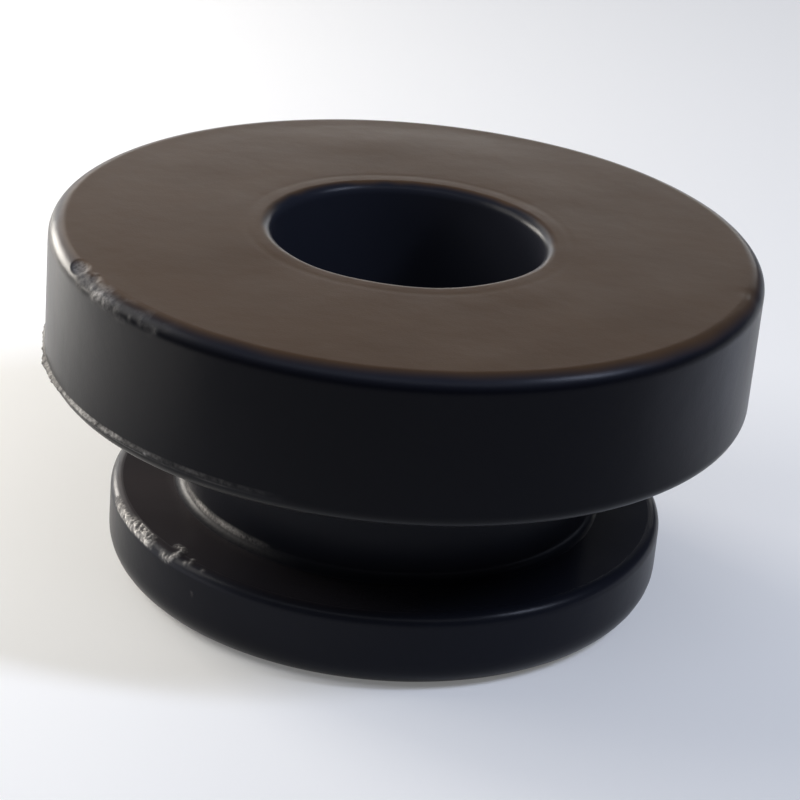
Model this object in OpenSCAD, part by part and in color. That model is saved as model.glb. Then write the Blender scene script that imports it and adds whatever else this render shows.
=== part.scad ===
// Rubber mount for a fuel tank: one round moulding with a head flange, a groove and a foot flange.
// The bracket's plate sits in the groove, the tank rests on the head, and a bolt's collar fills the bore.
// The part stands on its foot, with its axis along Z. All lengths are in millimetres.

/* [Head flange] */
// Diameter of the head flange, on which the tank rests
head_d = 30; // [26.5:0.5:40]
// Thickness of the head flange
head_t = 6.4; // [3:0.2:12]
// Radius of the edge round the head's top face
head_top_r = 0.75; // [0.2:0.05:1.2]
// Radius of the edge under the head, at the mouth of the groove
head_under_r = 0.7; // [0.2:0.1:1]

/* [Groove] */
// Diameter of the neck that passes through the bracket's hole
neck_d = 17.8; // [15:0.2:20]
// Width of the groove, from the foot's upper face to the head's lower face
groove_w = 5.4; // [3:0.2:9]
// Radius of the fillets where the neck meets both flanges
neck_fillet_r = 0.4; // [0.3:0.1:1.4]

/* [Foot flange] */
// Diameter of the foot flange, which is pushed through the bracket's hole
foot_d = 24; // [23:0.5:26]
// Thickness of the foot flange
foot_t = 3.5; // [2.5:0.25:8]
// Radius of the foot's upper edge, at the mouth of the groove
foot_top_r = 0.5; // [0.2:0.1:0.8]
// Radius of the foot's lower edge, which leads it into the bracket's hole
foot_lead_r = 1.4; // [0.3:0.1:1.6]

/* [Bore] */
// Diameter of the bore for the bolt's collar
bore_d = 11.5; // [6:0.1:13]
// Radius of the lips at both ends of the bore
bore_lip_r = 0.5; // [0.2:0.1:0.9]

/* [Mould flash] */
// Height of the thin fin left along the head's parting line
fin_h = 0.25; // [0.1:0.05:0.5]
// How far the fin stands out from the head's wall
fin_out = 0.15; // [0.05:0.01:0.4]
// Angle about the axis at which the fin starts
fin_from = 174; // [0:1:359]
// Angle over which the fin was left untrimmed
fin_sweep = 80; // [20:1:180]
// Radius of the bead of flash on the foot's upper edge
flash_r = 0.15; // [0.08:0.01:0.25]
// Angle about the axis at which the bead starts
flash_from = 198; // [0:1:359]
// Angle over which the bead was left untrimmed
flash_sweep = 20; // [5:1:180]
// Angle about the axis at which the curl beyond the bead starts
curl_from = 222; // [0:1:359]
// Angle over which the curl runs
curl_sweep = 5; // [2:1:60]

/* [Torn edge] */
// Length of the tear along the rounding of the head's top edge
tear_w = 4.2; // [1:0.1:8]
// Depth of the tear
tear_d = 0.08; // [0.02:0.01:0.2]
// Angle about the axis of the tear's middle
tear_at = 214; // [0:1:359]
// Width of the hollow where rubber came away beside the tear
hollow_w = 1.1; // [0.4:0.1:1.5]
// Depth of the hollow
hollow_d = 0.15; // [0.05:0.01:0.3]
// Angle about the axis of the hollow
hollow_at = 208; // [0:1:359]
// Width of the smaller hollow next to it
small_hollow_w = 0.7; // [0.3:0.1:1.2]
// Depth of the smaller hollow
small_hollow_d = 0.1; // [0.04:0.01:0.2]
// Angle about the axis of the smaller hollow
small_hollow_at = 214; // [0:1:359]
// Width of the faint dent in the other side of the edge
dent_w = 1.4; // [0.4:0.1:2]
// Depth of the dent
dent_d = 0.04; // [0.02:0.01:0.2]
// Angle about the axis of the dent
dent_at = 346; // [0:1:359]

/* [Hidden] */
$fn = 180;
// Overlap that joins pieces and clears cuts
lap = 0.2;
head_r = head_d / 2;
neck_r = neck_d / 2;
foot_r = foot_d / 2;
bore_r = bore_d / 2;
// Heights of the head's lower and upper faces above the foot's base
head_z = foot_t + groove_w;
height = head_z + head_t;
// Tilts from the vertical at which the top face, the torn hollows and the middle of a rounding look out
face_tilt = 0;
hollow_tilt = 20;
edge_tilt = 45;

// What lies between a square corner at the origin and its rounding in the first quadrant
module corner(r) {
    difference() {
        translate([-lap, -lap])
            square(r + lap);
        translate([r, r])
            circle(r);
    }
}

// One flange of the section, from the bore's wall outwards
module flange_section(r, z, t) {
    translate([bore_r, z])
        square([r - bore_r, t]);
}

// Neck between the flanges, with a fillet at each end
module neck_section() {
    flange_section(neck_r, foot_t - lap, groove_w + 2 * lap);
    translate([neck_r, foot_t])
        corner(neck_fillet_r);
    translate([neck_r, head_z])
        mirror([0, 1])
            corner(neck_fillet_r);
}

// Moulded radii on the outer edges of both flanges
module outer_edges() {
    translate([head_r, height])
        rotate(180)
            corner(head_top_r);
    translate([head_r, head_z])
        mirror([1, 0])
            corner(head_under_r);
    translate([foot_r, foot_t])
        rotate(180)
            corner(foot_top_r);
    translate([foot_r, 0])
        mirror([1, 0])
            corner(foot_lead_r);
}

// Lips that open the bore at its two ends
module bore_lips() {
    translate([bore_r, height])
        mirror([0, 1])
            corner(bore_lip_r);
    translate([bore_r, 0])
        corner(bore_lip_r);
}

// Half of the mount's section, on the right of the axis
module section() {
    difference() {
        union() {
            flange_section(head_r, head_z, head_t);
            neck_section();
            flange_section(foot_r, 0, foot_t);
        }
        outer_edges();
        bore_lips();
    }
}

// Fin left by the mould along the parting line at the foot of the head's wall
module fin() {
    rotate(fin_from)
        rotate_extrude(angle = fin_sweep)
            translate([head_r - lap, head_z + head_under_r - fin_h / 2])
                square([lap + fin_out, fin_h]);
}

// Bead of flash along the middle of the foot's upper rounding
module bead(from, sweep) {
    rotate(from)
        rotate_extrude(angle = sweep)
            translate([foot_r - foot_top_r, foot_t - foot_top_r])
                translate(foot_top_r * [sin(edge_tilt), cos(edge_tilt)])
                    circle(flash_r);
}

// Cap of a ball, w wide and d deep, out of the head's top edge at a tilt from the vertical
module bite(w, d, at, tilt) {
    ball_r = (pow(w / 2, 2) + pow(d, 2)) / (2 * d);
    reach = head_top_r + ball_r - d;
    rotate(at)
        translate([head_r - head_top_r + reach * sin(tilt), 0, height - head_top_r + reach * cos(tilt)])
            sphere(ball_r);
}

module rubber_mount() {
    color("dimgray")
        difference() {
            union() {
                rotate_extrude()
                    section();
                fin();
                bead(flash_from, flash_sweep);
                bead(curl_from, curl_sweep);
            }
            bite(tear_w, tear_d, tear_at, edge_tilt);
            bite(hollow_w, hollow_d, hollow_at, hollow_tilt);
            bite(small_hollow_w, small_hollow_d, small_hollow_at, hollow_tilt);
            bite(dent_w, dent_d, dent_at, face_tilt);
        }
}

rubber_mount();
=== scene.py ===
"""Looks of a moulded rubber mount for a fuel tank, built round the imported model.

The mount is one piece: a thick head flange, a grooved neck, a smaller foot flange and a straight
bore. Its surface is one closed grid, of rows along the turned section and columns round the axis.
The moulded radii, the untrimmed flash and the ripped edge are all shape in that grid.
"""

import logging
import math
from abc import ABC, abstractmethod
from dataclasses import dataclass, field
from enum import Enum, auto
from typing import Any, NamedTuple

import bpy
import numpy as np
from mathutils import Matrix, Vector


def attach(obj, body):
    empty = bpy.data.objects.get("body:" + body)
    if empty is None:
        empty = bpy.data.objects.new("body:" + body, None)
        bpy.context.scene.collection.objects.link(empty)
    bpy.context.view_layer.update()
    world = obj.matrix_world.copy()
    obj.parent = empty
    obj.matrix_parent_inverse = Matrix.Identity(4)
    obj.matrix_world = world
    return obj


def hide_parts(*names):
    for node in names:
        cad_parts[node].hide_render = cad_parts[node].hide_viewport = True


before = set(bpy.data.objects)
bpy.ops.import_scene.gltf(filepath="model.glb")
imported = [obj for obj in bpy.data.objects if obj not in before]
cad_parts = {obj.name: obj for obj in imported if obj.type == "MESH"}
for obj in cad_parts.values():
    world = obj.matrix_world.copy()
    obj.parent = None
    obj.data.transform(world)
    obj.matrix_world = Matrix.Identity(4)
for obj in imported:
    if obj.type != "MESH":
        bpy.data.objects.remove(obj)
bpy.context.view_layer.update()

Array = np.ndarray
Socket = bpy.types.NodeSocket
Pairs = tuple[tuple[float, float], ...]
MM = 0.001
FULL_TURN = 360.0
PHOTO_SIDE = 800.0
SENSOR_MM = 36.0
# Knots in a full turn of the coarse and of the fine raggedness of flash
COARSE_RAGS = 90
FINE_RAGS = 400
# Least and greatest share of a ridge that its raggedness leaves
RAG_RANGE = (0.2, 1.4)
# Lattice of the grains of flash: points in a full turn, and step along the section in mm
GRAIN_CELLS = 800
GRAIN_PITCH = 0.09
# Noise at which a grain starts and is full, and how high it stands beside a smooth ridge
GRAIN_STEP = (-0.3, 0.6)
GRAIN_LIFT = 1.6
# Lattice of the uneven floor of a bite, in the same terms
FLOOR_CELLS = 420
FLOOR_PITCH = 0.2
log = logging.getLogger("tank_mount")


def linear(hex_colour: str) -> tuple[float, float, float, float]:
    """Turns an sRGB hex value into linear RGBA.

    Args:
        hex_colour: Colour such as "#14141a".

    Returns:
        Linear red, green and blue, and an alpha of 1.
    """
    digits = hex_colour.lstrip("#")
    srgb = np.array([int(digits[i:i + 2], 16) for i in (0, 2, 4)]) / 255.0
    rgb = np.where(srgb <= 0.04045, srgb / 12.92, ((srgb + 0.055) / 1.055) ** 2.4)
    return (float(rgb[0]), float(rgb[1]), float(rgb[2]), 1.0)


def add_node(tree: bpy.types.NodeTree, kind: str, inputs: dict[Any, Any] | None = None,
             **settings: Any) -> bpy.types.Node:
    """Adds one node, sets it and feeds its inputs.

    Args:
        tree: Node tree that gets the node.
        kind: Blender's name for the kind of node.
        inputs: Input name or number to a socket that feeds it, or to its constant value.
        **settings: Properties of the node itself.

    Returns:
        The new node.
    """
    node = tree.nodes.new(kind)
    for key, value in settings.items():
        setattr(node, key, value)
    for key, value in (inputs or {}).items():
        if isinstance(value, bpy.types.NodeSocket):
            tree.links.new(value, node.inputs[key])
        else:
            node.inputs[key].default_value = value
    return node


def blank_material(name: str) -> bpy.types.Material:
    """Makes a material with an empty node tree.

    Args:
        name: Name of the material.

    Returns:
        The material.
    """
    mat = bpy.data.materials.new(name)
    mat.use_nodes = True
    mat.node_tree.nodes.clear()
    return mat


def point_share(tree: bpy.types.NodeTree, name: str) -> Socket:
    """Reads one of the shares that the mesh holds at its points."""
    return add_node(tree, "ShaderNodeAttribute", attribute_name=name).outputs["Fac"]


def spread(tree: bpy.types.NodeTree, value: Socket, low: float, high: float) -> Socket:
    """Stretches the values from low to high into shares from 0 to 1."""
    return add_node(tree, "ShaderNodeMapRange", {
        "Value": value, "From Min": low, "From Max": high}).outputs["Result"]


# The sockets of a Mix node share their names, so the next two functions call them by number
def mix_colours(tree: bpy.types.NodeTree, share: Socket, first: Any, second: Any) -> Socket:
    """Mixes two colours, of which the second has the given share."""
    return add_node(tree, "ShaderNodeMix", {0: share, 6: first, 7: second},
                    data_type="RGBA").outputs[2]


def mix_values(tree: bpy.types.NodeTree, share: Socket, first: Any, second: Any) -> Socket:
    """Mixes two values, of which the second has the given share."""
    return add_node(tree, "ShaderNodeMix", {0: share, 2: first, 3: second}).outputs[0]


def smooth(value: Array, low: float, high: float) -> Array:
    """Smooth step from 0 at low to 1 at high: 3t^2 - 2t^3 of the clamped share t.

    Args:
        value: Where the step is read.
        low: Value at which the step starts.
        high: Value at which it ends, below low for a falling step.

    Returns:
        The step, between 0 and 1.
    """
    t = np.clip((value - low) / (high - low), 0.0, 1.0)
    return t * t * (3.0 - 2.0 * t)


def ring_noise(turn: Array, cells: int, rng: np.random.Generator) -> Array:
    """Smooth noise that closes round the axis: seeded knots joined by smooth steps.

    Args:
        turn: Angles in degrees.
        cells: Knots in a full turn.
        rng: Source of the knots.

    Returns:
        Values between -1 and 1, of the shape of turn.
    """
    knots = rng.uniform(-1.0, 1.0, cells)
    place = np.mod(turn, FULL_TURN) / FULL_TURN * cells
    low = np.floor(place).astype(int)
    blend = smooth(place - low, 0.0, 1.0)
    return knots[low % cells] * (1.0 - blend) + knots[(low + 1) % cells] * blend


def skin_noise(turn: Array, along: Array, cells: int, pitch: float,
               rng: np.random.Generator) -> Array:
    """Smooth noise over the skin: a seeded lattice round the axis and along the section.

    Args:
        turn: Angles of the columns in degrees.
        along: Distances of the rows along the section in mm.
        cells: Lattice points in a full turn.
        pitch: Lattice step along the section in mm.
        rng: Source of the lattice.

    Returns:
        Values between -1 and 1 on the grid of rows by columns.
    """
    u = np.mod(turn, FULL_TURN) / FULL_TURN * cells
    v = along / pitch
    lattice = rng.uniform(-1.0, 1.0, (int(v.max()) + 2, cells))
    iu, iv = np.floor(u).astype(int), np.floor(v).astype(int)
    fu, fv = smooth(u - iu, 0.0, 1.0)[None, :], smooth(v - iv, 0.0, 1.0)[:, None]
    left, right = iu % cells, (iu + 1) % cells
    lower = lattice[iv][:, left] * (1.0 - fu) + lattice[iv][:, right] * fu
    upper = lattice[iv + 1][:, left] * (1.0 - fu) + lattice[iv + 1][:, right] * fu
    return lower * (1.0 - fv) + upper * fv


def course(turn: Array, knots: Pairs) -> Array:
    """Share along a stretch round the axis: straight lines between knots, nothing outside them.

    Args:
        turn: Angles in degrees.
        knots: Angle and share of each knot, with rising angles.

    Returns:
        Shares, of the shape of turn.
    """
    angles, shares = np.array(knots).T
    return np.interp(turn, angles, shares, left=0.0, right=0.0)


def spot(turn: float, radius: float, level: float) -> Array:
    """Cartesian point in mm at an angle in degrees, a radius and a height."""
    angle = math.radians(turn)
    return np.array([radius * math.cos(angle), radius * math.sin(angle), level])


def straight(start: tuple[float, float], end: tuple[float, float], steps: int) -> Array:
    """Evenly spaced section points from start up to, but not at, end.

    Args:
        start: Radius and height of the first point in mm.
        end: Radius and height that the stretch runs to.
        steps: Number of points.

    Returns:
        Points as rows of radius and height.
    """
    share = np.linspace(0.0, 1.0, steps, endpoint=False)[:, None]
    return np.array(start) * (1.0 - share) + np.array(end) * share


def rounding(centre: tuple[float, float], radius: float, start: float, end: float,
             steps: int) -> Array:
    """Points of a circular arc in the section, from its start up to, but not at, its end.

    Args:
        centre: Radius and height of the arc's centre in mm.
        radius: Radius of the arc in mm.
        start: First angle in degrees from the outward direction.
        end: Angle that the arc runs to.
        steps: Number of points.

    Returns:
        Points as rows of radius and height.
    """
    angle = np.radians(np.linspace(start, end, steps, endpoint=False))
    return np.array(centre) + radius * np.stack([np.cos(angle), np.sin(angle)], axis=1)


class Zone(Enum):
    """Stretches of the turned section, in the order in which the rows run."""

    BORE = auto()
    TOP_LIP = auto()
    TOP_FACE = auto()
    TOP_EDGE = auto()
    HEAD_WALL = auto()
    UNDER_EDGE = auto()
    UNDERSIDE = auto()
    UPPER_FILLET = auto()
    NECK = auto()
    LOWER_FILLET = auto()
    LEDGE = auto()
    LEDGE_EDGE = auto()
    FOOT_WALL = auto()
    LEAD_EDGE = auto()
    BASE = auto()
    BASE_LIP = auto()


@dataclass(frozen=True)
class Section:
    """Turned section of the mount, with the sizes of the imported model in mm."""

    head_r: float = 15.0
    head_z: float = 8.9
    height: float = 15.3
    neck_r: float = 8.9
    foot_r: float = 12.0
    foot_t: float = 3.5
    bore_r: float = 5.75
    lip_r: float = 0.5
    top_r: float = 0.75
    under_r: float = 0.7
    fillet_r: float = 0.4
    ledge_r: float = 0.5
    lead_r: float = 1.4
    witness_r: float = 6.85
    # Bands beside the worked edges in which rows lie closer: widths in mm, the arc in degrees
    ring_band: float = 0.3
    tear_band: float = 0.8
    tear_drop: float = 0.5
    fin_band: float = 0.4
    fin_arc: float = 24.0
    streak_band: float = 0.5
    flash_band: float = 0.6

    def stretches(self) -> list[tuple[Zone, Array]]:
        """Lists the section's stretches as points, once round from the foot of the bore.

        Straight lines join circular arcs that are tangent to them, so the section is smooth. Rows
        lie closer together along the edges that carry flash, bites and tears. The last number of
        a stretch is how many rows it has.

        Returns:
            Each stretch's zone and its points of radius and height.
        """
        s = self
        lip_c, edge_c = s.bore_r + s.lip_r, s.head_r - s.top_r
        under_c, ledge_c = s.head_r - s.under_r, s.foot_r - s.ledge_r
        neck_c, lead_c = s.neck_r + s.fillet_r, s.foot_r - s.lead_r
        top, low, sole = s.height, s.head_z, s.foot_t
        wall_top, parting, foot_top = top - s.top_r, low + s.under_r, sole - s.ledge_r
        neck_top, neck_foot = low - s.fillet_r, sole + s.fillet_r
        ring_in, ring_out = s.witness_r - s.ring_band, s.witness_r + s.ring_band
        torn_face, torn_wall = edge_c - s.tear_band, wall_top - s.tear_drop
        fin_top, streak_top = parting + s.fin_band, neck_foot + s.streak_band
        flash_in, flash_low = ledge_c - s.flash_band, foot_top - s.flash_band
        return [
            (Zone.BORE, straight((s.bore_r, s.lip_r), (s.bore_r, top - s.lip_r), 5)),
            (Zone.TOP_LIP, rounding((lip_c, top - s.lip_r), s.lip_r, 180.0, 90.0, 9)),
            (Zone.TOP_FACE, straight((lip_c, top), (ring_in, top), 4)),
            (Zone.TOP_FACE, straight((ring_in, top), (ring_out, top), 8)),
            (Zone.TOP_FACE, straight((ring_out, top), (torn_face, top), 7)),
            (Zone.TOP_FACE, straight((torn_face, top), (edge_c, top), 13)),
            (Zone.TOP_EDGE, rounding((edge_c, wall_top), s.top_r, 90.0, 0.0, 20)),
            (Zone.HEAD_WALL, straight((s.head_r, wall_top), (s.head_r, torn_wall), 8)),
            (Zone.HEAD_WALL, straight((s.head_r, torn_wall), (s.head_r, fin_top), 5)),
            (Zone.HEAD_WALL, straight((s.head_r, fin_top), (s.head_r, parting), 9)),
            (Zone.UNDER_EDGE, rounding((under_c, parting), s.under_r, 0.0, -s.fin_arc, 6)),
            (Zone.UNDER_EDGE, rounding((under_c, parting), s.under_r, -s.fin_arc, -90.0, 9)),
            (Zone.UNDERSIDE, straight((under_c, low), (neck_c, low), 4)),
            (Zone.UPPER_FILLET, rounding((neck_c, neck_top), s.fillet_r, 90.0, 180.0, 6)),
            (Zone.NECK, straight((s.neck_r, neck_top), (s.neck_r, streak_top), 3)),
            (Zone.NECK, straight((s.neck_r, streak_top), (s.neck_r, neck_foot), 6)),
            (Zone.LOWER_FILLET, rounding((neck_c, neck_foot), s.fillet_r, 180.0, 270.0, 9)),
            (Zone.LEDGE, straight((neck_c, sole), (flash_in, sole), 4)),
            (Zone.LEDGE, straight((flash_in, sole), (ledge_c, sole), 10)),
            (Zone.LEDGE_EDGE, rounding((ledge_c, foot_top), s.ledge_r, 90.0, 0.0, 15)),
            (Zone.FOOT_WALL, straight((s.foot_r, foot_top), (s.foot_r, flash_low), 10)),
            (Zone.FOOT_WALL, straight((s.foot_r, flash_low), (s.foot_r, s.lead_r), 4)),
            (Zone.LEAD_EDGE, rounding((lead_c, s.lead_r), s.lead_r, 0.0, -90.0, 9)),
            (Zone.BASE, straight((lead_c, 0.0), (lip_c, 0.0), 4)),
            (Zone.BASE_LIP, rounding((lip_c, s.lip_r), s.lip_r, 270.0, 180.0, 5)),
        ]


@dataclass
class Skin:
    """Grid of the mount's surface while it is shaped: rows along the section, columns round it.

    The grid keeps its plain form and outward normals, its present points and its pale share:
    how ripped each point is, and along the head's fin a painted highlight.
    """

    turn: Array
    zone: Array
    along: Array
    plain: Array
    normals: Array
    points: Array
    # Pale share: ripped rubber, and along the head's fin a painted highlight
    torn: Array

    @classmethod
    def turned(cls, section: Section, turn: Array) -> "Skin":
        """Turns the section round the axis: each row is a circle of its radius at its height.

        The section's normal is its tangent turned a quarter to the left, since it runs clockwise.

        Args:
            section: Section to turn.
            turn: Angles of the columns in degrees.

        Returns:
            The plain skin, with no pale share yet.
        """
        stretches = section.stretches()
        outline = np.concatenate([p for _, p in stretches])
        zone = np.concatenate([np.full(len(p), z.value) for z, p in stretches])
        step = np.linalg.norm(np.diff(outline, axis=0), axis=1)
        along = np.concatenate([[0.0], np.cumsum(step)])
        tangent = np.roll(outline, -1, axis=0) - np.roll(outline, 1, axis=0)
        tangent /= np.linalg.norm(tangent, axis=1, keepdims=True)
        angle = np.radians(turn)
        around = np.stack([np.cos(angle), np.sin(angle), np.zeros_like(angle)], axis=1)
        upward = np.array([0.0, 0.0, 1.0])
        plain = outline[:, :1, None] * around + outline[:, 1:, None] * upward
        normals = tangent[:, :1, None] * upward - tangent[:, 1:, None] * around
        return cls(turn, zone, along, plain, normals, plain.copy(), np.zeros(plain.shape[:2]))

    def past(self, zone: Zone) -> Array:
        """Distance of each row along the section in mm, from the start of a zone."""
        return self.along - self.along[np.argmax(self.zone == zone.value)]

    def lies_in(self, *zones: Zone) -> Array:
        """Tells for each row whether it lies in one of the zones."""
        return np.isin(self.zone, [zone.value for zone in zones])

    def grains(self, rng: np.random.Generator) -> Array:
        """Grains of broken flash: a smooth step of fine noise, 0 between them and 1 on them."""
        noise = skin_noise(self.turn, self.along, GRAIN_CELLS, GRAIN_PITCH, rng)
        return smooth(noise, *GRAIN_STEP)

    def push(self, amount: Array) -> None:
        """Moves each point along the plain surface's normal by an amount in mm."""
        self.points = self.points + self.normals * amount[..., None]

    def raise_pale(self, share: Array) -> None:
        """Raises the pale share, of ripped rubber and painted highlight, to at least the given one.
        """
        self.torn = np.maximum(self.torn, np.clip(share, 0.0, 1.0))


class Mark(ABC):
    """Something that moulding, trimming or use left on the skin."""

    @abstractmethod
    def work(self, skin: Skin) -> None:
        """Works the mark into the skin."""


@dataclass(frozen=True)
class Sway(Mark):
    """Slow unevenness of a soft moulding: the skin swells and sinks, but not at its base."""

    height: float
    cells: int
    pitch: float
    seed: int

    def work(self, skin: Skin) -> None:
        """Moves the skin along its normal by wide noise, which fades in the lowest millimetre.

        Args:
            skin: Skin that sways.
        """
        rng = np.random.default_rng(self.seed)
        noise = skin_noise(skin.turn, skin.along, self.cells, self.pitch, rng)
        skin.push(self.height * noise * smooth(skin.plain[..., 2], 0.0, 1.0))


@dataclass(frozen=True)
class WitnessRing(Mark):
    """Shallow ring that the mould's core insert left round the bore, in the top face."""

    radius: float
    depth: float
    width: float

    def work(self, skin: Skin) -> None:
        """Sinks the top face by a bell curve of the distance from the ring's radius.

        Args:
            skin: Skin that gets the ring.
        """
        reach = np.hypot(skin.plain[..., 0], skin.plain[..., 1]) - self.radius
        on_top = skin.lies_in(Zone.TOP_FACE)[:, None]
        skin.push(-self.depth * on_top * np.exp(-(reach / self.width) ** 2))


@dataclass(frozen=True)
class Ridge(Mark):
    """Ridge of untrimmed flash along an edge, ragged along its length and broken into grains.

    Its middle is a distance in mm along the section from a zone's start, and knots of angle and
    share say where it runs. A ridge that stands out by nothing is only a pale line.
    """

    zone: Zone
    middle: float
    knots: Pairs
    out: float
    half_width: float
    ragged: float
    grain: float
    pale: float
    seed: int

    def work(self, skin: Skin) -> None:
        """Raises the square of a parabola across the ridge, by a noisy share along it.

        The share is the ridge's course times its raggedness, and is thinner between the grains.

        Args:
            skin: Skin that gets the ridge.
        """
        rng = np.random.default_rng(self.seed)
        across = (skin.past(self.zone) - self.middle) / self.half_width
        crest = np.clip(1.0 - across ** 2, 0.0, None)[:, None] ** 2
        rag = ring_noise(skin.turn, COARSE_RAGS, rng) + 0.5 * ring_noise(skin.turn, FINE_RAGS, rng)
        share = course(skin.turn, self.knots) * np.clip(1.0 + self.ragged * rag, *RAG_RANGE)
        body = share * (1.0 - self.grain + GRAIN_LIFT * self.grain * skin.grains(rng))
        skin.push(self.out * crest * body)
        skin.raise_pale(self.pale * np.sqrt(crest) * body)


@dataclass(frozen=True)
class Strand(Mark):
    """Thread of curled flash that lies along a short path of angles, radii and heights.

    Its thickness is a share between the grains, to which the grains add another.
    """

    path: tuple[tuple[float, float, float], ...]
    out: float
    width: float
    pale: float
    seed: int
    between: float = 0.45
    added: float = 0.85

    def work(self, skin: Skin) -> None:
        """Raises a bell curve of the distance from the path's nearest stretch, in grains.

        Args:
            skin: Skin that gets the thread.
        """
        rng = np.random.default_rng(self.seed)
        knots = np.array([spot(*point) for point in self.path])
        away = np.full(skin.torn.shape, np.inf)
        for start, end in zip(knots[:-1], knots[1:]):
            run = end - start
            share = np.clip((skin.plain - start) @ run / (run @ run), 0.0, 1.0)
            nearest = start + share[..., None] * run
            away = np.minimum(away, np.linalg.norm(skin.plain - nearest, axis=2))
        thickness = self.between + self.added * skin.grains(rng)
        bell = np.exp(-(away / self.width) ** 2) * thickness
        skin.push(self.out * bell)
        skin.raise_pale(self.pale * bell)


class Lump(NamedTuple):
    """Small soft lump: place of its middle, how far it stands out, how wide and how pale it is."""

    turn: float
    radius: float
    level: float
    out: float
    width: float
    pale: float


@dataclass(frozen=True)
class Beads(Mark):
    """Small soft lumps of rubber on an edge, or hollows where a lump stands out by less than 0."""

    lumps: tuple[Lump, ...]

    def work(self, skin: Skin) -> None:
        """Raises each lump by a bell curve of the distance from its middle.

        Args:
            skin: Skin that gets the lumps.
        """
        for lump in self.lumps:
            middle = spot(lump.turn, lump.radius, lump.level)
            away = np.linalg.norm(skin.plain - middle, axis=2)
            bell = np.exp(-(away / lump.width) ** 2)
            skin.push(lump.out * bell)
            skin.raise_pale(lump.pale * bell)


@dataclass(frozen=True)
class Bite(Mark):
    """Cap of a ball out of the head's top edge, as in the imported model, with a rough floor.

    The cap has a width and a depth, and sits at an angle about the axis and a tilt from the
    vertical. Its lip is rounded over a few hundredths of a millimetre.
    """

    section: Section
    turn: float
    tilt: float
    width: float
    depth: float
    rough: float
    pale: float
    seed: int
    lip: float = 0.015

    def work(self, skin: Skin) -> None:
        """Pushes what lies inside the ball softly out to its surface, which noise makes uneven.

        The push is the logarithm of 1 plus an exponential, so it starts without an edge.

        Args:
            skin: Skin that loses the cap.
        """
        rng = np.random.default_rng(self.seed)
        ball = (self.width ** 2 / 4.0 + self.depth ** 2) / (2.0 * self.depth)
        s, tilt = self.section, math.radians(self.tilt)
        reach = s.top_r + ball - self.depth
        centre = spot(self.turn, s.head_r - s.top_r + reach * math.sin(tilt),
                      s.height - s.top_r + reach * math.cos(tilt))
        away = skin.points - centre
        far = np.linalg.norm(away, axis=2)
        uneven = self.rough * skin_noise(skin.turn, skin.along, FLOOR_CELLS, FLOOR_PITCH, rng)
        sunk = self.lip * np.logaddexp(0.0, (ball + uneven - far) / self.lip)
        skin.points = skin.points + away * (sunk / far)[..., None]
        skin.raise_pale(self.pale * smooth(sunk, 0.0, 0.5 * self.depth))


@dataclass(frozen=True)
class Rough(Mark):
    """Rough patch along an edge: the skin is ripped into small lumps and hollows.

    The patch is given round the axis by knots of angle and share, and along the section by knots
    of distance from a zone's start and share. Lumps make most of its relief and crumbs the rest.
    """

    zone: Zone
    knots: Pairs
    rows: Pairs
    depth: float
    cells: int
    pitch: float
    pale: float
    seed: int
    lump_share: float = 0.65
    crumb_share: float = 0.35
    pale_step: tuple[float, float] = (-0.1, 0.5)

    def work(self, skin: Skin) -> None:
        """Moves the patch along its normal by two sizes of noise; the high spots are pale.

        Args:
            skin: Skin that gets the patch.
        """
        rng = np.random.default_rng(self.seed)
        share = course(skin.past(self.zone), self.rows)[:, None] * course(skin.turn, self.knots)
        lumps = skin_noise(skin.turn, skin.along, self.cells, self.pitch, rng)
        crumbs = skin_noise(skin.turn, skin.along, 2 * self.cells, 0.5 * self.pitch, rng)
        relief = self.lump_share * lumps + self.crumb_share * crumbs
        skin.push(self.depth * share * relief)
        skin.raise_pale(self.pale * share * smooth(relief, *self.pale_step))


@dataclass(frozen=True)
class Pattern:
    """Noise over the rubber: real size of its cells in mm, number of octaves and their weight."""

    cell_mm: float
    detail: float
    weight: float

    def lay(self, tree: bpy.types.NodeTree) -> Socket:
        """Lays the noise over the object, and gives its values from 0 to 1."""
        place = add_node(tree, "ShaderNodeTexCoord").outputs["Object"]
        return add_node(tree, "ShaderNodeTexNoise", {
            "Vector": place, "Scale": 1.0 / (self.cell_mm * MM), "Detail": self.detail,
            "Roughness": self.weight}).outputs["Fac"]


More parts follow.
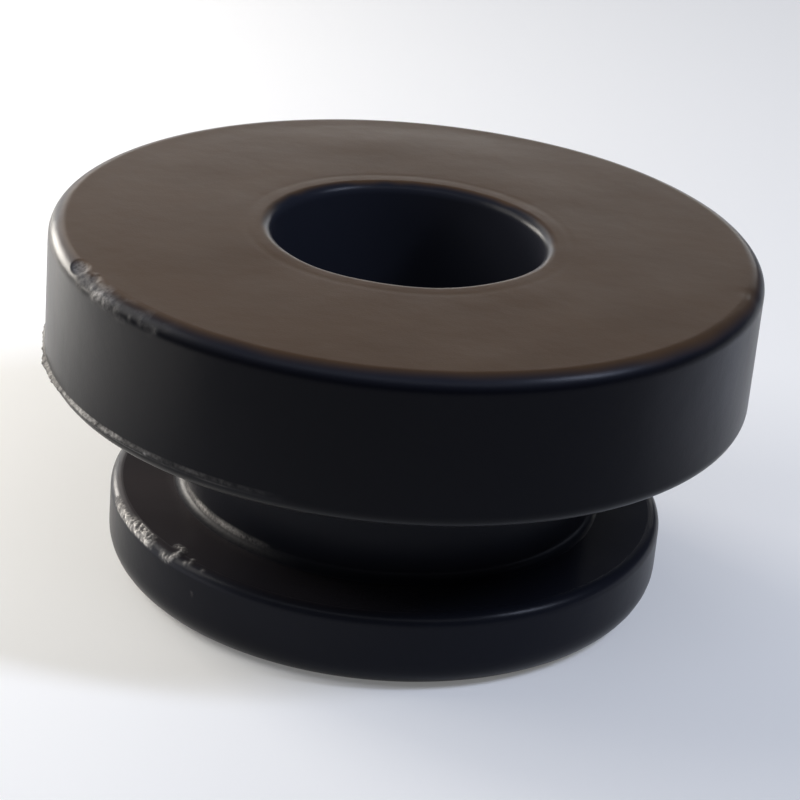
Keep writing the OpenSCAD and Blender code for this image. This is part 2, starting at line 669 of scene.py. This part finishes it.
@dataclass(frozen=True)
class MouldedRubber:
    """Carbon-black rubber, moulded: deep black satin walls and a dull brown film on top.

    The walls took the mould's fine satin, so they stay black face on and shine at a low angle. The
    faces that look up carry a thin film of bloom. A grey lightens the bore and the groove, which is
    partly dusting and partly painted fill light. The sheltered ledge kept more of its gloss, and
    ripped rubber is pale and matt; along the head's fin the pale is partly a painted highlight.
    """

    name: str = "moulded_black_rubber"
    black: str = "#090a10"
    # Grey of dusting and painted fill light, which lightens the bore and the groove
    dust_and_painted_light_grey: str = "#23252d"
    bloom: str = "#513f2f"
    bloom_worn: str = "#493829"
    # Pale of ripped rubber, which along the head's fin paints a highlight
    torn: str = "#dedbd7"
    veil: str = "#fff4e8"
    mottle: Pattern = Pattern(3.2, 4.0, 0.55)
    peel: Pattern = Pattern(1.7, 2.0, 0.5)
    speck: Pattern = Pattern(0.15, 2.0, 0.5)
    # The mould's own grain is a few hundredths of a millimetre; it is drawn coarser, so that it shows
    grain: Pattern = Pattern(0.11, 3.0, 0.6)
    # Noise at which a fleck or the full film starts, and noise at which it is whole
    worn_range: tuple[float, float] = (0.15, 0.85)
    fleck_range: tuple[float, float] = (0.15, 0.65)
    peel_depth_mm: float = 0.05
    grain_depth_mm: float = 0.01
    bump_strength: float = 0.3
    # Walls and film stay rougher than 0.275, below which the denoiser draws hard patches
    wall_roughness: float = 0.28
    bloom_roughness: float = 0.29
    shelter_roughness: float = 0.17
    torn_roughness: float = 0.65
    uneven_roughness: float = 0.04
    # Rubber turns matt well before it turns pale
    matt_gain: float = 8.0
    ior: float = 1.5
    specular_level: float = 0.08
    sheen_weight: float = 0.03
    sheen_roughness: float = 0.3

    def colour(self, tree: bpy.types.NodeTree, mottle: Socket) -> Socket:
        """Colours the rubber: black, a grey of dusting and painted fill light, then film, then pale
        flecks where the rubber is ripped and, along the head's fin, as a painted highlight.

        Args:
            tree: The material's node tree.
            mottle: Slow noise that wears the film.

        Returns:
            The colour.
        """
        whole = spread(tree, mottle, *self.worn_range)
        film = mix_colours(tree, whole, linear(self.bloom_worn), linear(self.bloom))
        # Grey share: dusting, and painted fill light in the bore, the groove and the ledge's left
        dust_and_painted_light = point_share(tree, "dust_and_painted_light")
        ground = mix_colours(tree, dust_and_painted_light, linear(self.black), linear(self.dust_and_painted_light_grey))
        coated = mix_colours(tree, point_share(tree, "bloom"), ground, film)
        fleck = spread(tree, self.speck.lay(tree), *self.fleck_range)
        # Pale flecks where the rubber is ripped, and along the fin a painted highlight
        pale = add_node(tree, "ShaderNodeMath", {
            0: fleck, 1: point_share(tree, "torn")}, operation="MULTIPLY")
        return mix_colours(tree, pale.outputs["Value"], coated, linear(self.torn))

    def roughness(self, tree: bpy.types.NodeTree, mottle: Socket) -> Socket:
        """Roughens the rubber: satin walls, a glossier ledge, dull film and matt ripped rubber.

        Args:
            tree: The material's node tree.
            mottle: Slow noise that makes the gloss uneven.

        Returns:
            The roughness.
        """
        shelter = point_share(tree, "shelter")
        wall = mix_values(tree, shelter, self.wall_roughness, self.shelter_roughness)
        coated = mix_values(tree, point_share(tree, "bloom"), wall, self.bloom_roughness)
        bare = add_node(tree, "ShaderNodeMath", {
            0: point_share(tree, "torn"), 1: self.matt_gain}, operation="MULTIPLY", use_clamp=True)
        matt = mix_values(tree, bare.outputs["Value"], coated, self.torn_roughness)
        return add_node(tree, "ShaderNodeMath", {
            0: mottle, 1: self.uneven_roughness, 2: matt},
            operation="MULTIPLY_ADD").outputs["Value"]

    def relief(self, tree: bpy.types.NodeTree) -> Socket:
        """Bumps the rubber: the slow swell of a moulded skin, and the mould's grain on it.

        Args:
            tree: The material's node tree.

        Returns:
            The bumped normal.
        """
        swell = add_node(tree, "ShaderNodeBump", {
            "Height": self.peel.lay(tree), "Strength": self.bump_strength,
            "Distance": self.peel_depth_mm * MM})
        return add_node(tree, "ShaderNodeBump", {
            "Height": self.grain.lay(tree), "Strength": self.bump_strength,
            "Distance": self.grain_depth_mm * MM,
            "Normal": swell.outputs["Normal"]}).outputs["Normal"]

    def material(self) -> bpy.types.Material:
        """Builds the node material, which reads the shares that the mesh holds at its points.

        Returns:
            The material.
        """
        mat = blank_material(self.name)
        tree = mat.node_tree
        mottle = self.mottle.lay(tree)
        shader = add_node(tree, "ShaderNodeBsdfPrincipled", {
            "Base Color": self.colour(tree, mottle), "Roughness": self.roughness(tree, mottle),
            "Normal": self.relief(tree), "IOR": self.ior,
            "Specular IOR Level": self.specular_level,
            "Sheen Weight": self.sheen_weight, "Sheen Roughness": self.sheen_roughness,
            "Sheen Tint": linear(self.veil)})
        add_node(tree, "ShaderNodeOutputMaterial", {"Surface": shader.outputs["BSDF"]})
        return mat


@dataclass(frozen=True)
class Coat:
    """What lies on the rubber: a brown film on the faces that look up, and a grey that is
    partly dusting and partly painted fill light.

    A fade is two distances in mm, where a coat has ended and where it is full. The other pairs are
    knots of angle and share, or of angle and mm for how far the film reaches over the edge.
    """

    seed: int = 61
    wander_mm: float = 0.06
    wander_knots: int = 60
    edge_fade: tuple[float, float] = (0.65, 0.0)
    lip_fade: tuple[float, float] = (0.4, 0.0)
    ledge_fade: tuple[float, float] = (0.4, 0.1)
    # Share of film where a mark moved the skin by the first distance; it is full by the second
    worn_film: float = 0.55
    worn_fade: tuple[float, float] = (0.14, 0.04)
    film_reach: Pairs = ((295, 0.0), (325, 0.22), (350, 0.22), (360, 0.1))
    # The ledge's film is fuller on the left, which is painted light falling in under the head
    ledge_film_and_painted_light: Pairs = ((150, 0.03), (190, 0.24), (215, 0.18), (240, 0.06), (280, 0.02))
    # Grey shares, partly dusting and partly painted fill light that lightens these places
    bore_dust_and_painted_light: float = 1.0
    groove_dust_and_painted_light: float = 0.4
    ledge_dust_and_painted_light: float = 0.35
    left_dust_and_painted_light: Pairs = ((150, 0), (190, 1), (220, 1), (250, 0))
    edge_grey_fade: tuple[float, float] = (1.0, 0.5)

    def film(self, skin: Skin) -> Array:
        """Share of film on each point: full on the flat top, thin on the ledge, none on the walls.

        It fades along the roundings that bound a face, farther out on the right, and bites have
        less of it. On the ledge its brown is film, and its fullness on the left is painted light
        falling in under the head.

        Args:
            skin: Finished skin.

        Returns:
            Shares on the grid, between 0 and 1.
        """
        rng = np.random.default_rng(self.seed)
        drift = self.wander_mm * ring_noise(skin.turn, self.wander_knots, rng)[None, :]
        reach = course(skin.turn, self.film_reach)[None, :]
        over = skin.past(Zone.TOP_EDGE)[:, None] + drift - reach
        inner = -skin.past(Zone.TOP_FACE)[:, None] + drift
        top = smooth(over, *self.edge_fade) * smooth(inner, *self.lip_fade)
        top = top * skin.lies_in(Zone.TOP_LIP, Zone.TOP_FACE, Zone.TOP_EDGE)[:, None]
        down = skin.past(Zone.LEDGE_EDGE)[:, None] + drift
        ledge = smooth(down, *self.ledge_fade)
        ledge = ledge * skin.lies_in(Zone.LEDGE, Zone.LEDGE_EDGE)[:, None]
        moved = np.linalg.norm(skin.points - skin.plain, axis=2)
        kept = self.worn_film + (1.0 - self.worn_film) * smooth(moved, *self.worn_fade)
        return (top + ledge * course(skin.turn, self.ledge_film_and_painted_light)) * kept

    def dust_and_painted_light(self, skin: Skin) -> Array:
        """Share of grey on each point, partly dusting and partly painted fill light: full in the
        bore and on the top edge, else less.

        The groove, the foot and the ledge hold some, and the ledge's left more than its right,
        which is painted light falling in under the head.

        Args:
            skin: Finished skin.

        Returns:
            Shares on the grid.
        """
        bore = skin.lies_in(Zone.BORE, Zone.TOP_LIP, Zone.BASE_LIP)
        groove = skin.lies_in(Zone.NECK, Zone.LOWER_FILLET, Zone.FOOT_WALL, Zone.LEAD_EDGE)
        edge = smooth(skin.past(Zone.TOP_EDGE), *self.edge_grey_fade) * skin.lies_in(Zone.TOP_EDGE)
        ledge = skin.lies_in(Zone.LEDGE, Zone.LEDGE_EDGE)[:, None]
        left = self.ledge_dust_and_painted_light + (1.0 - self.ledge_dust_and_painted_light) * course(skin.turn, self.left_dust_and_painted_light)
        return (self.bore_dust_and_painted_light * bore + self.groove_dust_and_painted_light * groove + edge)[:, None] + ledge * left

    def shelter(self, skin: Skin) -> Array:
        """Share of the mould's own gloss at each point: only the groove's flat faces kept it."""
        return skin.lies_in(Zone.LEDGE, Zone.UNDERSIDE)[:, None] * np.ones_like(skin.torn)


@dataclass
class RubberMount:
    """The mount itself: its section, the marks on it, its coat and its finish."""

    node: str = "rubber_mount"
    name: str = "mount_moulding"
    slot: str = "moulded_rubber"
    section: Section = field(default_factory=Section)
    coat: Coat = field(default_factory=Coat)
    finish: MouldedRubber = field(default_factory=MouldedRubber)
    columns: int = 510
    # Angles at which the density of the columns is summed, and its knots of angle and weight
    samples: int = 7201
    density: Pairs = ((0.0, 1.0), (168.0, 1.0), (174.0, 3.0), (184.0, 3.0), (190.0, 8.0),
                      (238.0, 8.0), (242.0, 3.0), (258.0, 3.0), (264.0, 1.0), (334.0, 1.0),
                      (340.0, 4.0), (350.0, 4.0), (356.0, 1.0), (360.0, 1.0))

    def turns(self) -> Array:
        """Angles of the columns, evenly spaced by a density that is higher along torn edges.

        Returns:
            Angles in degrees, rising from 0 and below a full turn.
        """
        fine = np.linspace(0.0, FULL_TURN, self.samples)
        density = course(fine, self.density)
        total = np.concatenate([[0.0], np.cumsum((density[1:] + density[:-1]) / 2.0)])
        share = np.linspace(0.0, 1.0, self.columns, endpoint=False)
        return np.interp(share * total[-1], total, fine)

    def moulding(self) -> tuple[Mark, ...]:
        """Marks of the mould itself: a slow sway of the skin and a faint ring round the bore."""
        return (Sway(height=0.02, cells=14, pitch=2.5, seed=5),
                WitnessRing(self.section.witness_r, depth=0.006, width=0.2))

    def fin(self) -> tuple[Mark, ...]:
        """Fin on the head's parting line: a dark ridge, and a pale line on its upper flank that is
        partly pale rubber and partly a painted highlight.

        Returns:
            The ridge, then the line.
        """
        run = ((173, 0), (178, 1), (200, 1), (226, 0.7), (234, 0.4), (250, 0.3), (257, 0))
        line = ((188, 0), (194, 0.5), (202, 0.8), (204, 1), (218.7, 1), (219.7, 0.25), (221, 0.9),
                (224.4, 0.8), (226.5, 0.25), (250, 0.08), (256, 0))
        return (
            Ridge(Zone.UNDER_EDGE, 0.0, run, out=0.15, half_width=0.15, ragged=0.4, grain=0.2,
                  pale=0.04, seed=11),
            # This line stands out by nothing: partly pale rubber, partly a painted highlight
            Ridge(Zone.UNDER_EDGE, -0.07, line, out=0.0, half_width=0.11, ragged=0.5, grain=0.25,
                  pale=0.5, seed=12),
        )

    def foot_flash(self) -> tuple[Mark, ...]:
        """Flash on the foot's upper edge: two granular ridges, and two threads that curl.

        Returns:
            The ridges, then the threads.
        """
        sole = self.section.foot_t
        outer = ((196, 0), (200, 0.8), (204, 1), (216.5, 1), (218.5, 0))
        inner = ((206, 0), (208, 1), (216, 1), (217.5, 0))
        curl_end = (225.2, 11.62, 3.48)
        upper = ((222.4, 11.28, sole), (223.8, 11.27, sole), (224.9, 11.4, sole), curl_end)
        lower = ((221.6, 11.93, 3.26), (223.1, 11.97, 3.18), (224.2, 11.93, 3.26),
                 (224.8, 11.76, 3.42), curl_end)
        return (
            Ridge(Zone.LEDGE_EDGE, 0.46, outer, out=0.07, half_width=0.24, ragged=0.3, grain=0.55,
                  pale=0.95, seed=23),
            Ridge(Zone.LEDGE_EDGE, 0.24, inner, out=0.05, half_width=0.2, ragged=0.6, grain=0.7,
                  pale=0.8, seed=24),
            Strand(upper, out=0.045, width=0.12, pale=0.55, seed=28),
            Strand(lower, out=0.05, width=0.13, pale=0.55, seed=29),
        )

    def streak(self) -> tuple[Mark, ...]:
        """Pale streak at the foot of the neck, on a fillet that is a little matt there.

        Returns:
            The matt fillet, then the streak.
        """
        matt = ((180, 1), (230, 1), (250, 0))
        line = ((194, 0), (199, 0.8), (213, 1), (226, 0.7), (235, 0.3), (240, 0))
        return (
            Ridge(Zone.LOWER_FILLET, 0.32, matt, out=0.0, half_width=0.45, ragged=0.0, grain=0.0,
                  pale=0.03, seed=26),
            Ridge(Zone.LOWER_FILLET, 0.05, line, out=0.02, half_width=0.17, ragged=0.3, grain=0.1,
                  pale=0.5, seed=27),
        )

    def specks(self) -> tuple[Mark, ...]:
        """Specks of rubber beyond the curl, on the foot's wall and on the head's parting line.

        Returns:
            The specks, as one mark.
        """
        sole = self.section.foot_t
        return (Beads((
            Lump(228.1, 11.81, 3.39, 0.03, 0.09, 0.3), Lump(229.2, 11.72, 3.44, 0.03, 0.1, 0.25),
            Lump(228.8, 11.5, sole, 0.03, 0.08, 0.22), Lump(232.9, 11.76, 3.43, 0.02, 0.09, 0.15),
            Lump(231.4, 12.0, 2.32, 0.03, 0.07, 0.3), Lump(231.1, 15.0, 9.62, 0.03, 0.08, 0.4))),)

    def torn_edge(self) -> tuple[Mark, ...]:
        """Ripped left edge of the head: a long rip, its rough floor, two hollows and pale lumps.

        Returns:
            The tear first and the lumps last.
        """
        s = self.section
        run = ((207, 0), (210, 1), (220, 1), (224, 0.4), (233, 0.2), (236, 0))
        rows = ((0.0, 0.0), (0.3, 1.0), (0.9, 1.0), (1.3, 0.0))
        lumps = (
            Lump(212.8, 14.35, s.height, 0.02, 0.1, 0.15),
            Lump(214.9, 14.83, 15.02, 0.03, 0.18, 0.3), Lump(216.7, 14.91, 14.91, 0.04, 0.22, 0.48),
            Lump(217.9, 14.87, 14.97, 0.04, 0.22, 0.5), Lump(219.6, 14.89, 14.94, 0.03, 0.22, 0.36),
            Lump(220.8, 14.86, 15.0, 0.03, 0.2, 0.26), Lump(223.0, 14.89, 14.95, 0.015, 0.2, 0.1),
            Lump(226.2, 14.94, 14.85, 0.02, 0.1, 0.1), Lump(228.6, 14.92, 14.9, 0.02, 0.15, 0.1),
            Lump(231.8, 14.95, 14.81, 0.02, 0.12, 0.1))
        return (
            Bite(s, 214.0, 45.0, width=4.2, depth=0.08, rough=0.01, pale=0.12, seed=30),
            Rough(Zone.TOP_EDGE, run, rows, depth=0.009, cells=170, pitch=0.4, pale=0.14, seed=41),
            Bite(s, 208.4, 27.0, width=1.35, depth=0.16, rough=0.01, pale=0.18, seed=31),
            Bite(s, 213.7, 25.0, width=0.8, depth=0.1, rough=0.01, pale=0.14, seed=32),
            Beads(lumps),
        )

    def dent(self) -> tuple[Mark, ...]:
        """Faint dent in the right of the head's top edge."""
        return (Beads((Lump(346.0, 14.55, 15.22, -0.025, 0.5, 0.0),)),)

    def marks(self) -> tuple[Mark, ...]:
        """Lists the marks, in the order in which they were made."""
        return (*self.moulding(), *self.fin(), *self.foot_flash(), *self.streak(), *self.specks(),
                *self.torn_edge(), *self.dent())

    def build(self) -> bpy.types.Object:
        """Shapes the skin and writes it into a mesh closed both ways, with shares at its points.

        Returns:
            The mount's object, at the origin.
        """
        skin = Skin.turned(self.section, self.turns())
        for mark in self.marks():
            mark.work(skin)
        rows, columns = skin.torn.shape
        index = np.arange(rows * columns).reshape(rows, columns)
        beside = np.roll(index, -1, axis=1)
        quads = np.stack([index, np.roll(index, -1, axis=0),
                          np.roll(beside, -1, axis=0), beside], axis=2).reshape(-1, 4)
        mesh = bpy.data.meshes.new(self.name)
        mesh.from_pydata((skin.points * MM).reshape(-1, 3).tolist(), [], quads.tolist())
        mesh.polygons.foreach_set("use_smooth", np.ones(len(quads), dtype=bool))
        shares = {"bloom": self.coat.film(skin), "torn": skin.torn,
                  "dust_and_painted_light": self.coat.dust_and_painted_light(skin), "shelter": self.coat.shelter(skin)}
        for name, values in shares.items():
            store = mesh.attributes.new(name, "FLOAT", "POINT")
            store.data.foreach_set("value", values.astype(np.float32).ravel())
        mesh.update()
        piece = bpy.data.objects.new(self.name, mesh)
        bpy.context.scene.collection.objects.link(piece)
        return piece

    def dress(self, piece: bpy.types.Object) -> None:
        """Gives the piece its rubber and sets it in the frame.

        Args:
            piece: The mount's object.
        """
        piece.data.materials.append(self.finish.material())
        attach(piece, "root")
        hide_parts(self.node)
        log.info("%s: %d faces", piece.name, len(piece.data.polygons))


@dataclass(frozen=True)
class StudioPaper:
    """Matt white paper: pale, even and without gloss, with a little glow where it is looked at."""

    name: str = "matt_white_paper"
    white: str = "#f7f7f5"
    roughness: float = 0.9
    specular_level: float = 0.05
    glow: float = 0.15

    def material(self) -> bpy.types.Material:
        """Builds the paper's material.

        Returns:
            The material.
        """
        mat = blank_material(self.name)
        tree = mat.node_tree
        shader = add_node(tree, "ShaderNodeBsdfPrincipled", {
            "Base Color": linear(self.white), "Roughness": self.roughness,
            "Specular IOR Level": self.specular_level})
        ray = add_node(tree, "ShaderNodeLightPath").outputs
        direct = add_node(tree, "ShaderNodeMath", {
            0: ray["Is Camera Ray"], 1: ray["Is Glossy Ray"]}, operation="MAXIMUM")
        seen = add_node(tree, "ShaderNodeMath", {
            0: direct.outputs["Value"], 1: ray["Is Transmission Ray"]}, operation="MAXIMUM")
        share = add_node(tree, "ShaderNodeMath", {
            0: seen.outputs["Value"], 1: self.glow}, operation="MULTIPLY")
        white = add_node(tree, "ShaderNodeEmission", {
            "Color": (1.0, 1.0, 1.0, 1.0), "Strength": 1.0})
        paper = add_node(tree, "ShaderNodeMixShader", {
            0: share.outputs["Value"], 1: shader.outputs["BSDF"], 2: white.outputs["Emission"]})
        add_node(tree, "ShaderNodeOutputMaterial", {"Surface": paper.outputs["Shader"]})
        return mat


@dataclass(frozen=True)
class SoftBox:
    """Soft light, given by its direction and distance, its face and how bright that face is."""

    name: str
    azimuth: float
    elevation: float
    distance_mm: float
    face_mm: tuple[float, float]
    radiance: float
    tint: str

    def hang(self, aim: Vector) -> None:
        """Hangs the light and turns its face to the mount.

        Args:
            aim: Point that the light faces, in metres.
        """
        side, lift = math.radians(self.azimuth), math.radians(self.elevation)
        toward = Vector((math.cos(side) * math.cos(lift), math.sin(side) * math.cos(lift),
                         math.sin(lift)))
        width, height = self.face_mm[0] * MM, self.face_mm[1] * MM
        data = bpy.data.lights.new(self.name, "AREA")
        data.shape = "RECTANGLE"
        data.size, data.size_y = width, height
        data.energy = self.radiance * math.pi * width * height
        data.color = linear(self.tint)[:3]
        lamp = bpy.data.objects.new(self.name, data)
        lamp.location = aim + toward * self.distance_mm * MM
        lamp.rotation_euler = toward.to_track_quat("Z", "Y").to_euler()
        bpy.context.scene.collection.objects.link(lamp)


@dataclass
class Studio:
    """Paper floor, soft lights, pale surroundings and the camera of the photograph.

    The window draws the bright line on the left of the rim, and the skylight the one on the front
    right edge. The back wall and the window's glow veil the top, and the two cards near the floor
    lighten the ends of the walls. The overhead light and the left lamp fill in.
    """

    floor_side_mm: float = 6000.0
    paper: StudioPaper = field(default_factory=StudioPaper)
    room: str = "#e4ebff"
    room_level: float = 0.06
    lights: tuple[SoftBox, ...] = (
        SoftBox("window", 143.0, 9.5, 125.0, (60.0, 36.0), 22.0, "#fff8ee"),
        SoftBox("skylight", -15.0, 47.0, 300.0, (36.0, 100.0), 40.0, "#d9e4ff"),
        SoftBox("back_wall", 103.0, 10.0, 300.0, (440.0, 40.0), 4.1, "#ffffff"),
        SoftBox("overhead", -95.0, 56.0, 300.0, (420.0, 90.0), 1.5, "#eef3ff"),
        SoftBox("left_card", 180.0, -6.0, 34.0, (50.0, 8.0), 1.4, "#fffaf2"),
        SoftBox("right_card", 3.0, -7.0, 34.0, (30.0, 7.0), 0.58, "#dfe6ff"),
        SoftBox("window_glow", 120.0, 26.0, 300.0, (125.0, 100.0), 2.7, "#fffaf4"),
        SoftBox("left_lamp", 178.0, 29.0, 110.0, (60.0, 60.0), 5.0, "#fffaf2"),
    )
    focal_px: float = 2615.43
    distance_mm: float = 112.775
    elevation_deg: float = 24.42
    roll_deg: float = 5.147
    centre_mm: float = 7.65
    centre_px: tuple[float, float] = (394.297, 396.794)
    nearest_mm: float = 5.0
    farthest_mm: float = 20000.0

    def lay_floor(self) -> None:
        """Lays the paper under the mount, as a flat square at the height of its base."""
        half = self.floor_side_mm * MM / 2.0
        corners = half * np.array([[-1, -1, 0], [1, -1, 0], [1, 1, 0], [-1, 1, 0]])
        mesh = bpy.data.meshes.new("paper_floor")
        mesh.from_pydata(corners.tolist(), [], [(0, 1, 2, 3)])
        mesh.materials.append(self.paper.material())
        floor = bpy.data.objects.new("paper_floor", mesh)
        bpy.context.scene.collection.objects.link(floor)

    def surround(self) -> None:
        """Gives the room round the mount one dim, even light."""
        world = bpy.data.worlds.new("pale_room")
        world.use_nodes = True
        tree = world.node_tree
        tree.nodes.clear()
        back = add_node(tree, "ShaderNodeBackground", {
            "Color": linear(self.room), "Strength": self.room_level})
        add_node(tree, "ShaderNodeOutputWorld", {"Surface": back.outputs["Background"]})
        bpy.context.scene.world = world

    def set_camera(self, aim: Vector) -> None:
        """Sets the camera at the photograph's angle, roll and distance.

        Args:
            aim: Point that the camera looks at, in metres.
        """
        lift, roll = math.radians(self.elevation_deg), math.radians(self.roll_deg)
        back = Vector((0.0, -math.cos(lift), math.sin(lift)))
        side = Vector((1.0, 0.0, 0.0))
        above = back.cross(side)
        right = side * math.cos(roll) + above * math.sin(roll)
        upward = above * math.cos(roll) - side * math.sin(roll)
        data = bpy.data.cameras.new("camera")
        data.sensor_width = SENSOR_MM
        data.lens = self.focal_px * SENSOR_MM / PHOTO_SIDE
        data.shift_x = (PHOTO_SIDE / 2.0 - self.centre_px[0]) / PHOTO_SIDE
        data.shift_y = (self.centre_px[1] - PHOTO_SIDE / 2.0) / PHOTO_SIDE
        data.clip_start, data.clip_end = self.nearest_mm * MM, self.farthest_mm * MM
        camera = bpy.data.objects.new("camera", data)
        turn = Matrix((right, upward, back)).transposed().to_4x4()
        camera.matrix_world = Matrix.Translation(aim + back * self.distance_mm * MM) @ turn
        bpy.context.scene.collection.objects.link(camera)
        bpy.context.scene.camera = camera

    def set_up(self) -> None:
        """Builds the whole studio round the mount."""
        self.lay_floor()
        self.surround()
        aim = Vector((0.0, 0.0, self.centre_mm * MM))
        for light in self.lights:
            light.hang(aim)
        self.set_camera(aim)
        bpy.context.scene.view_settings.view_transform = "Standard"


def main() -> None:
    """Builds the mount, dresses it and sets the studio round it."""
    logging.basicConfig(level=logging.INFO, format="%(name)s %(message)s")
    mount = RubberMount()
    mount.dress(mount.build())
    Studio().set_up()


if __name__ == "__main__":
    main()
